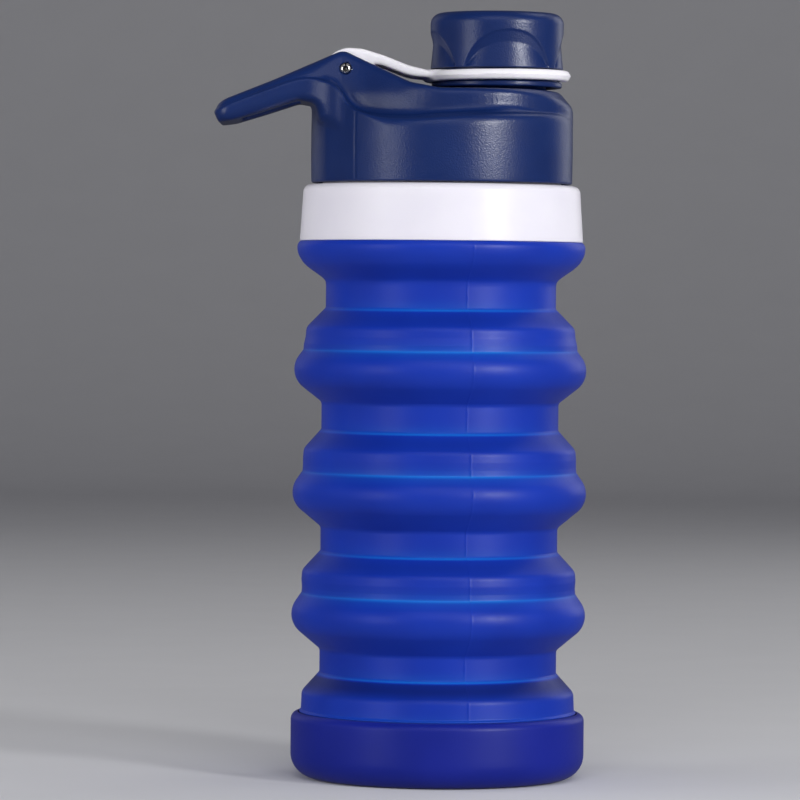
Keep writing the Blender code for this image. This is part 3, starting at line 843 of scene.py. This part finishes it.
# The deck's plan, from the nose round one side to the hinge cheek.
DECK_PLAN = [
    (34.0, 0.0),
    (33.2, 6.0),
    (31.0, 11.5),
    (26.8, 17.4),
    (20.2, 22.9),
    (12.5, 26.2),
    (4.0, 27.1),
    (-5.0, 25.7),
    (-14.0, 22.4),
    (-21.0, 18.9),
    (-27.5, 17.0),
    (-33.0, LOOP_HALF_WIDTH),
]

# Side view: the top line from the deck over the cheeks to the loop's tip, and the loop's underside.
TOP_LINE = [
    (36.0, DECK_TOP, 0.0),
    (-1.0, DECK_TOP, 14.0),
    (-8.6, 179.9, 10.0),
    (-18.0, 184.5, 8.0),
    (-25.8, 188.3, 3.4),
    (-43.2, 180.65, 30.0),
    (-58.6, 174.4, 1.5),
    (-60.4, 172.4, 0.8),
]
LOOP_UNDERSIDE = [
    (-57.7, 169.4, 1.8),
    (-53.6, 170.1, 6.0),
    (-46.1, 172.4, 20.0),
    (-37.4, 175.3, 4.0),
    (-32.8, 174.4, 2.4),
    (-31.6, 170.2, 1.0),
    (-27.0, 168.6, 0.0),
    (36.0, 168.6, 0.0),
]

# The crease on the loop, its arch, and the wall's upper edge. The side is upright under it.
CREASE_LINE = [
    (-61.0, 171.6),
    (-58.4, 172.7),
    (-54.1, 174.4),
    (-48.7, 176.6),
    (-44.9, 178.0),
    (-40.5, 179.6),
    (-36.8, 180.6),
    (-33.2, 180.8),
    (-30.0, 179.9),
    (-27.6, 178.2),
    (-25.8, 176.1),
    (-24.2, 174.0),
    (-22.0, 172.4),
    (-18.5, 171.2),
    (-14.0, 170.7),
    (-8.0, 170.6),
    (0.0, 171.1),
    (10.0, 171.7),
    (20.0, 172.2),
    (36.0, 172.9),
]


def spline_through(points, steps):
    """A smooth curve through points, as a list of points."""
    p = np.array([points[0], *points, points[-1]], float)
    curve = []
    for a, b, c, d in zip(p, p[1:], p[2:], p[3:]):
        for t in np.linspace(0.0, 1.0, steps, endpoint=False):
            square = (2 * a - 5 * b + 4 * c - d) * t**2
            cube = (3 * b - a - 3 * c + d) * t**3
            curve.append(0.5 * (2 * b + (c - a) * t + square + cube))
    curve.append(p[-1])
    return curve


def deck_outline():
    """The deck's and loop's whole plan, mirrored across the side view's plane."""
    side = spline_through(DECK_PLAN, 5)
    tip = rounded_path(
        [(-33.0, LOOP_HALF_WIDTH, 0.0), (LOOP_LEFT, LOOP_HALF_WIDTH, 4.5), (LOOP_LEFT, 0.0, 0.0)],
        closed=False,
    )
    half = [tuple(p) for p in side] + [tuple(p) for p in tip[1:]]
    return half + [(u, -v) for u, v in reversed(half[1:-1])]


def loop_outline():
    """The plan of the carry loop alone."""
    half = rounded_path(
        [(-20.0, LOOP_HALF_WIDTH, 0.0), (LOOP_LEFT, LOOP_HALF_WIDTH, 4.5), (LOOP_LEFT, 0.0, 0.0)],
        closed=False,
    )
    half = [tuple(p) for p in half]
    return half + [(u, -v) for u, v in reversed(half[:-1])]


TOP_PATH = [tuple(p) for p in rounded_path(TOP_LINE, closed=False)]
UNDER_PATH = [tuple(p) for p in rounded_path(LOOP_UNDERSIDE, closed=False)]
CREASE_PATH = [tuple(p) for p in spline_through(CREASE_LINE, 4)]
CREASE_X = [p[0] for p in CREASE_PATH]
CREASE_Z = [p[1] for p in CREASE_PATH]
DECK_OUTLINE = deck_outline()
LOOP_OUTLINE = loop_outline()
FULL_SIDE = TOP_PATH + UNDER_PATH
WALL_SIDE = CREASE_PATH + [(36.0, 150.0), (-61.0, 150.0)]


def ease(value):
    """A soft step from 0 to 1."""
    value = np.clip(value, 0.0, 1.0)
    return value * value * (3.0 - 2.0 * value)


def lid_outside(x, y, z):
    """The upright lower part, the leaning upper part over it, and the fillet between them."""
    radius = np.hypot(x, y)
    belly = WALL_BELLY * (z - WALL_BELLY_HEIGHT) ** 2
    wall = radius - LID_RADIUS + belly
    for side in (1.0, -1.0):
        facet = math.pi - side * FACET_ANGLE
        flat = x * math.cos(facet) + y * math.sin(facet) - FACET_DISTANCE + belly
        wall = smooth_max(wall, flat, 0.2)
    beside = np.hypot(x - EDGE_X, np.abs(y) - EDGE_Y)
    wall = wall + GROOVE * np.exp(-((beside / GROOVE_HALF_WIDTH) ** 2))
    under_crease = outline_distance(WALL_SIDE, x, z)
    full_side = outline_distance(FULL_SIDE, x, z)
    leftness = ease((-27.0 - x) / 7.0)
    edge = 3.0 - 2.3 * ease((-13.0 - x) / 8.0)
    barrel = smooth_max(wall, under_crease, edge)
    loop_plan = smooth_min(outline_distance(LOOP_OUTLINE, x, y) - PROUD, wall, 7.0)
    loop_plan = loop_plan + 4.0 * ease((x + 28.0) / 7.0)
    loop = smooth_max(smooth_max(loop_plan, full_side, 2.6), under_crease, 0.7)
    lower = smooth_min(barrel, loop, 2.0)
    foot = np.maximum(np.interp(x, CREASE_X, CREASE_Z), DECK_TOP - 1.3)
    climb = 0.5 * (z - foot + np.sqrt((z - foot) ** 2 + 3.0))
    lean = 0.38 * ease((-2.0 - x) / 10.0) * climb
    upper = outline_distance(DECK_OUTLINE, x, y) + lean
    upper = smooth_max(upper, full_side, 1.8 + 1.6 * ease((-27.0 - x) / 8.0))
    nose = (radius - 30.2) * 0.757 + (z - DECK_TOP) * 0.653
    upper = smooth_max(upper, np.where(x > 0.0, nose, -5.0), 0.9)
    fillet = 2.4 - 0.4 * ease((-16.0 - x) / 6.0) - 1.5 * leftness - 2.1 * ease((x - 14.0) / 14.0)
    whole = smooth_min(lower, upper, fillet)
    trim = np.where(x > -20.0, wall - 0.8, -5.0)
    return smooth_max(smooth_max(whole, trim, 1.5), LID_LOW - z, 0.5)


def spout_distance(x, y, z):
    out = np.hypot(x - CAP_X, y)
    ridge = helix_ridge(x - CAP_X, y, z, 185.6, SPOUT_PITCH, 184.6, 190.6, 0.7)
    tube = out - SPOUT_RADIUS - ridge
    return smooth_max(tube, z - SPOUT_TOP, 0.7)


def lid_inside(x, y, z):
    radius = np.hypot(x, y)
    thread = helix_ridge(x, y, z, 158.45, LID_PITCH, 156.4, 162.4, 1.0)
    bore = np.maximum(radius - 32.4 + thread, z - 165.3)
    land = np.maximum(radius - 27.5, z - 169.5)
    dome = smooth_max(np.hypot(x - 9.0, y) - 19.0, z - (DECK_TOP - 2.7), 3.0)
    spout = np.hypot(x - CAP_X, y) - SPOUT_BORE
    spout = np.maximum(spout, DECK_TOP - 8.0 - z)
    return np.minimum(np.minimum(bore, land), np.minimum(dome, spout))


def box_distance(x, y, z, low, high, round_size):
    """A box whose upright edges are rounded."""
    beyond = [np.maximum(a - p, p - b) for a, p, b in zip(low, (x, y, z), high)]
    return np.maximum(smooth_max(beyond[0], beyond[1], round_size), beyond[2])


def lid_openings(x, y, z):
    """The strap's slot between the cheeks, its way on to the deck, and the loop's hole."""
    wide, above, below = SLOT_HALF_WIDTH, 200.0, 150.0
    slot = box_distance(x, y, z, (SLOT_LEFT, -wide, 177.5), (-17.0, wide, above), SLOT_CORNER)
    ramp = box_distance(x, y, z, (-20.0, -wide, DECK_TOP - 0.1), (1.0, wide, above), 0.5)
    loop = box_distance(x, y, z, (SLOT_LEFT, -wide, below), (-37.1, wide, above), SLOT_CORNER)
    return np.minimum(np.minimum(slot, ramp), loop)


def lid_distance(x, y, z):
    outside = smooth_min(lid_outside(x, y, z), spout_distance(x, y, z), 1.2)
    hollow = np.maximum(outside, -lid_inside(x, y, z))
    pin = np.hypot(x - PIN_X, z - PIN_Z) - PIN_HOLE
    return smooth_max(smooth_max(hollow, -lid_openings(x, y, z), 0.9), -pin, 0.25)


def make_lid():
    low, high = (-62.0, -36.0, LID_LOW - 1.5), (36.0, 36.0, SPOUT_TOP + 2.0)
    found = solid_surface(lid_distance, low, high, 0.55)
    obj = add_net("lid_moulding", *found)
    finish_piece(obj, NAVY_PLASTIC, "navy_plastic", "lid", "lid_body", "carry_loop", "spout")


PIN_HALF = 15.4
PIN_RADIUS = 1.42
PIN_BORE = 0.66


def make_pin():
    """A rolled pin: a C-shaped section, a slit that faces up, soft ends and a narrow middle."""
    gap = math.radians(12.0)
    turns = np.linspace(math.pi / 2 + gap, math.pi / 2 + math.tau - gap, 49)
    end = [(0.1, PIN_BORE), (0.0, 0.78), (0.1, 1.05), (0.28, 1.3), (0.5, PIN_RADIUS)]
    rows = [(back - PIN_HALF, radius) for back, radius in end]
    rows += [(PIN_HALF - back, radius) for back, radius in reversed(end)]
    rows += [(2.0, PIN_BORE), (2.0, 0.1), (-2.0, 0.1), (-2.0, PIN_BORE)]
    points = []
    for y, radius in rows:
        for turn in turns:
            points.append((PIN_X + radius * math.cos(turn), y, PIN_Z + radius * math.sin(turn)))
    columns = len(turns)
    faces = []
    for row in range(len(rows)):
        following = (row + 1) % len(rows)
        for k in range(columns - 1):
            a, b = row * columns + k, following * columns + k
            faces.append((a, b, b + 1, a + 1))
    faces.append(tuple(row * columns for row in reversed(range(len(rows)))))
    faces.append(tuple(row * columns + columns - 1 for row in range(len(rows))))
    obj = add_mesh("roll_pin", points, faces)
    finish_piece(obj, PIN_STEEL, "pin_steel", "lid", "hinge_pin")


# ---------------------------------------------------------------- strap and cap

STRAP_MIDDLE = STRAP_LOW + 1.22
STRAP_TILT = 0.012
RIM_RADIUS = 19.2
RIM_HOLE = 16.25
RIM_HALF_THICKNESS = 1.32
ARM_HALF_WIDTH = 9.4
KNUCKLE_RADIUS = 5.25
KNUCKLE_BORE = 1.62
ARM_TOP = [
    (6.0, STRAP_LOW + 1.9, 0.0),
    (-2.6, STRAP_LOW + 2.1, 8.0),
    (-9.0, 184.7, 14.0),
    (-15.4, 187.2, 12.0),
    (-21.0, 188.9, 7.0),
    (PIN_X + 0.1, 189.0, 4.6),
    (PIN_X - 5.4, 185.4, 4.0),
]
ARM_UNDER = [
    (PIN_X - 5.2, 178.2, 5.0),
    (PIN_X + 4.4, 178.2, 4.4),
    (-19.5, 185.4, 3.0),
    (-15.4, 184.4, 10.0),
    (-9.0, 181.9, 14.0),
    (-3.0, STRAP_LOW + 0.4, 8.0),
    (6.0, STRAP_LOW + 0.6, 0.0),
]
ARM_SIDE = [tuple(p) for p in rounded_path(ARM_TOP, closed=False)] + [
    tuple(p) for p in rounded_path(ARM_UNDER, closed=False)
]


def strap_distance(x, y, z):
    out = np.hypot(x - CAP_X, y)
    rise = np.abs(z - STRAP_MIDDLE - STRAP_TILT * (x - CAP_X))
    rim = smooth_max(out + 0.5 * rise - RIM_RADIUS, rise - RIM_HALF_THICKNESS, 0.55)
    from_pin = np.hypot(x - PIN_X, z - PIN_Z)
    beside = np.abs(y) - ARM_HALF_WIDTH
    arm = smooth_max(outline_distance(ARM_SIDE, x, z), beside, 1.1)
    knuckle = smooth_max(from_pin - KNUCKLE_RADIUS, beside, 0.9)
    body = smooth_min(rim, smooth_min(arm, knuckle, 1.0), 1.6)
    return smooth_max(np.maximum(body, RIM_HOLE - out), KNUCKLE_BORE - from_pin, 0.4)


def make_strap():
    low, high = (-31.0, -20.2, 177.0), (34.5, 20.2, 190.3)
    found = solid_surface(strap_distance, low, high, 0.36)
    obj = add_net("cap_tether", *found)
    # The strap wears the paler, painted-lit copy of the white plastic.
    finish_piece(obj, LIT_STRAP_PLASTIC, "white_plastic", "strap", "cap_strap")


CAP_RADIUS = 17.2
CAP_NECK = 15.9
CAP_BORE = 15.0
CAP_FOOT = 184.05
GRIP_CENTRE = FRONT + math.radians(10.0)
GRIP_HALF_ANGLE = math.radians(40.5)
GRIP_FOOT = 184.2
GRIP_PEAK = 193.8
GRIP_FLOOR_PEAK = 190.6
GRIP_DEPTH = 0.62
GRIP_STEP = 0.3


def arch(share, peak):
    return GRIP_FOOT + (peak - GRIP_FOOT) * np.clip(1.0 - np.abs(share) ** 2.4, 0.0, 1.0) ** 0.8


def cut_grips(radius, height, turn):
    """Four arched finger grips: a band leans in under the outer arch, the floor leans out again."""
    quarter = math.pi / 2
    share = ((turn - GRIP_CENTRE + quarter / 2) % quarter - quarter / 2) / GRIP_HALF_ANGLE
    outer = arch(share, GRIP_PEAK)
    inner = arch(share * 1.06, GRIP_FLOOR_PEAK)
    band = np.clip((outer - height) / np.maximum(outer - inner, 0.6), 0.0, 1.0)
    step = np.clip((outer - height) / 0.35, 0.0, 1.0)
    floor = np.clip((height - GRIP_FOOT) / np.maximum(inner - GRIP_FOOT, 0.6), 0.0, 1.0)
    depth = GRIP_DEPTH * np.minimum(GRIP_STEP * step + (1.0 - GRIP_STEP) * band, floor)
    side = (height > CAP_FOOT - 0.05) & (height < 197.0) & (radius > 16.4)
    return np.where(side, radius - depth, radius)


def shape_cap(radius, height, turn):
    radius = cut_grips(radius, height, turn)
    along = np.cos(turn), np.sin(turn), height
    ridge = helix_ridge(*along, 187.1, SPOUT_PITCH, 185.4, 191.4, 0.5)
    inside = (np.abs(radius - CAP_BORE - 0.05) < 0.15) & (height > 181.0) & (height < 194.0)
    return np.where(inside, radius - ridge, radius), height


def make_cap():
    section = rounded_path(
        [
            (0.0, CAP_HIGH - 0.25, 0.0),
            (12.0, CAP_HIGH - 0.3, 40.0),
            (17.35, CAP_HIGH - 0.5, 2.9),
            (CAP_RADIUS, 189.0, 6.0),
            (CAP_RADIUS, CAP_FOOT, 0.35),
            (CAP_NECK, CAP_FOOT, 0.2),
            (CAP_NECK, 180.75, 0.2),
            (16.9, 180.75, 0.45),
            (16.9, CAP_LOW, 0.45),
            (CAP_BORE, CAP_LOW, 0.3),
            (CAP_BORE, 195.0, 0.8),
            (0.0, 195.0, 0.0),
        ]
    )
    angles = np.linspace(-math.pi, math.pi, CAP_STEPS, endpoint=False)
    obj = revolve("screw_cap", subdivided(section, 0.28), CAP_X, shape_cap, angles, 28.0)
    finish_piece(obj, NAVY_PLASTIC, "navy_plastic", "cap", "spout_cap")
    low, high = node_low("cap_liner"), node_high("cap_liner")
    disc = rounded_path(
        [(0.0, low, 0.0), (14.5, low, 0.4), (14.5, high, 0.4), (0.0, high, 0.0)]
    )
    obj = revolve("seal_disc", subdivided(disc, 1.0), CAP_X)
    paint_glow_and_shade(obj, [])
    finish_piece(obj, SEAL_SILICONE, "seal_silicone", "cap", "cap_liner")


# ---------------------------------------------------------------- studio


def make_stage():
    """A pale floor that curves up into a backdrop."""
    corners = [(-3600.0, 0.0, 0.0), (2700.0, 0.0, 900.0), (2700.0, 3600.0, 0.0)]
    profile = rounded_path(corners, closed=False, step_angle=4.0)
    half = 4000.0
    points = [(x, y, z) for y, z in profile for x in (-half, half)]
    faces = [(2 * i, 2 * i + 1, 2 * i + 3, 2 * i + 2) for i in range(len(profile) - 1)]
    stage = add_mesh("studio_floor", points, faces)
    material, nodes, links = new_material("studio_paper")
    shader = nodes["Principled BSDF"]
    place = nodes.new("ShaderNodeTexCoord").outputs["Object"]
    grain = noise(nodes, links, place, 30.0, 2.0)
    colour = mix_colours(nodes, links, grain, (0.74, 0.74, 0.76), (0.77, 0.77, 0.79))
    links.new(colour, shader.inputs["Base Color"])
    shader.inputs["Roughness"].default_value = 0.85
    shader.inputs["Specular IOR Level"].default_value = 0.15
    stage.data.materials.append(material)
    stage.visible_glossy = False


AIM_HEIGHT = 0.11


def add_light(name, azimuth, distance, height, size, power, glossy=True):
    """A soft box that faces the bottle.

    It stands at an azimuth in degrees from the bottle's front, positive to the right. The distance,
    height and size are metres, and the power is watts.
    """
    lamp = bpy.data.lights.new(name, "AREA")
    lamp.shape = "RECTANGLE"
    lamp.size, lamp.size_y = size
    lamp.energy = power
    obj = link_object(name, lamp)
    turn = math.radians(azimuth)
    place = np.array((distance * math.sin(turn), -distance * math.cos(turn), height))
    back = place - np.array((0.0, 0.0, AIM_HEIGHT))
    back /= np.linalg.norm(back)
    side = np.cross((0.0, 0.0, 1.0), back)
    side /= np.linalg.norm(side)
    up = np.cross(back, side)
    obj.matrix_world = Matrix(
        [[side[i], up[i], back[i], place[i]] for i in range(3)] + [[0.0, 0.0, 0.0, 1.0]]
    )
    obj.visible_glossy = glossy


def make_lights():
    add_light("left_box", -48.0, 1.25, 0.22, (0.36, 0.70), 2.6)
    add_light("right_box", 48.0, 1.25, 0.22, (0.46, 0.70), 1.15)
    add_light("right_core", 44.0, 1.20, 0.42, (0.20, 0.16), 6.2)
    add_light("brow_box", 0.0, 1.05, 1.10, (1.4, 0.5), 1.6)
    add_light("left_rim", -142.0, 1.2, 0.45, (0.5, 0.7), 0.3)
    add_light("right_rim", 138.0, 1.2, 0.45, (0.5, 0.7), 1.2)
    add_light("crown_box", 125.0, 0.8, 1.15, (0.5, 0.5), 1.0)
    add_light("left_fill", -86.0, 1.2, 0.35, (0.8, 0.7), 4.9, glossy=False)
    add_light("right_fill", 86.0, 1.2, 0.35, (0.8, 0.7), 2.8, glossy=False)
    add_light("front_fill", 4.0, 1.3, 0.80, (1.2, 0.7), 8.2, glossy=False)
    world = bpy.data.worlds.new("studio_air")
    world.use_nodes = True
    air = world.node_tree.nodes["Background"]
    air.inputs["Color"].default_value = (0.80, 0.80, 0.90, 1.0)
    air.inputs["Strength"].default_value = 0.09
    bpy.context.scene.world = world
    bpy.context.scene.view_settings.view_transform = "Standard"


CAMERA_PLACE = (-0.0104, -1.281, 0.1247)
CAMERA_LENS = 221.7
LOOKS_DOWN = 1.19
LEANS_OVER = 0.5


def make_camera():
    camera = bpy.data.cameras.new("camera")
    camera.lens = CAMERA_LENS
    camera.sensor_width = 36.0
    camera.clip_end = 20.0
    obj = link_object("camera", camera)
    tilt = Matrix.Rotation(math.radians(90.0 - LOOKS_DOWN), 4, "X")
    roll = Matrix.Rotation(math.radians(LEANS_OVER), 4, "Z")
    obj.matrix_world = Matrix.Translation(CAMERA_PLACE) @ tilt @ roll
    bpy.context.scene.camera = obj


make_camera()
make_stage()
make_lights()
make_base()
for number in range(1, FOLDS + 1):
    make_fold_wall(number)
for number in range(1, FOLDS):
    make_bulge_ring(number)
make_shoulder()
make_neck()
make_lid()
make_pin()
make_strap()
make_cap()
